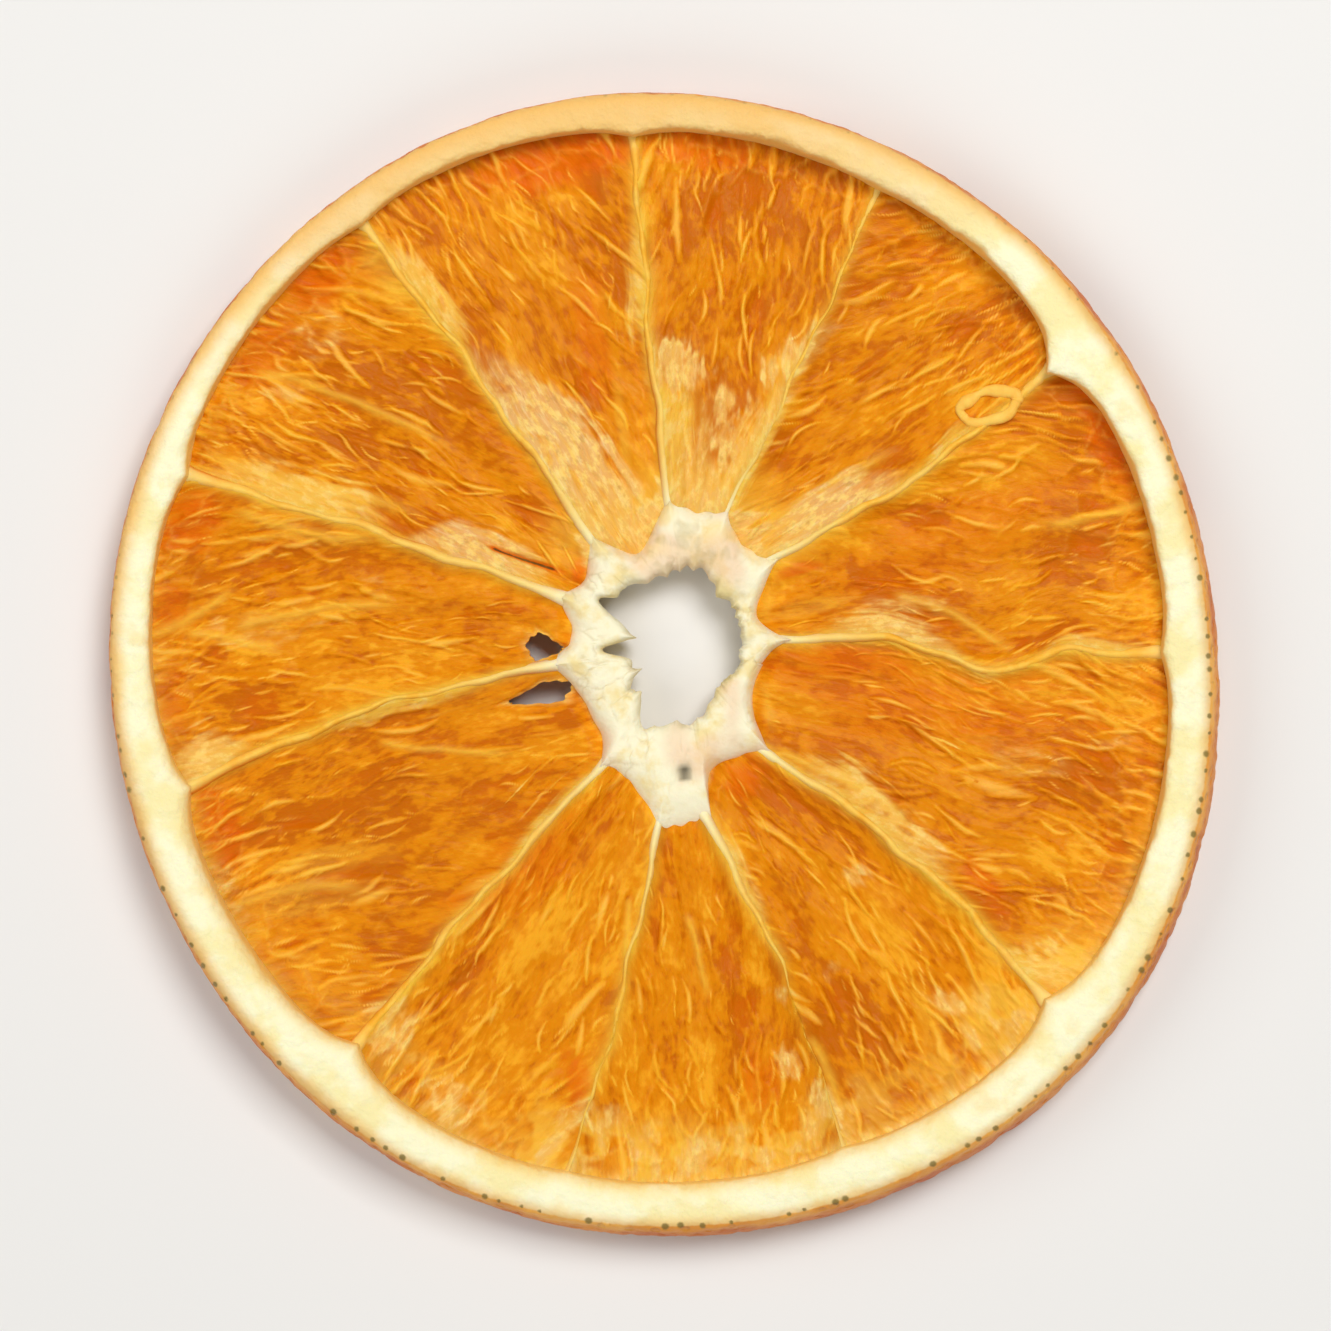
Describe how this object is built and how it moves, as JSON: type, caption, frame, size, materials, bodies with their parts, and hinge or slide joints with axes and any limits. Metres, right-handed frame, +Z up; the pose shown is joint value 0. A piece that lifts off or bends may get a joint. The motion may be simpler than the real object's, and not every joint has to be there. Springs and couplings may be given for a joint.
{
  "type": "dried orange slice",
  "caption": "Dried round slice of an orange: raised rind ring, sunken pulp fields between thin walls, and a pith core with an open middle.",
  "frame": {"origin": "on the floor under the middle of the slice's outline", "axes": "+Z up out of the shown cut face, +Y to the top of the slice as the picture shows it, +X to its right"},
  "size_m": [0.0654, 0.0674, 0.005],
  "materials": {
    "dried_pulp": "dry translucent orange pulp with a faint waxy sheen",
    "dried_rind": "matte cream pith with a thin pitted orange skin outside",
    "dried_pith": "matte white spongy pith"
  },
  "bodies": {
    "root": {"dried_slice": "dried_pulp"}
  },
  "joints": []
}
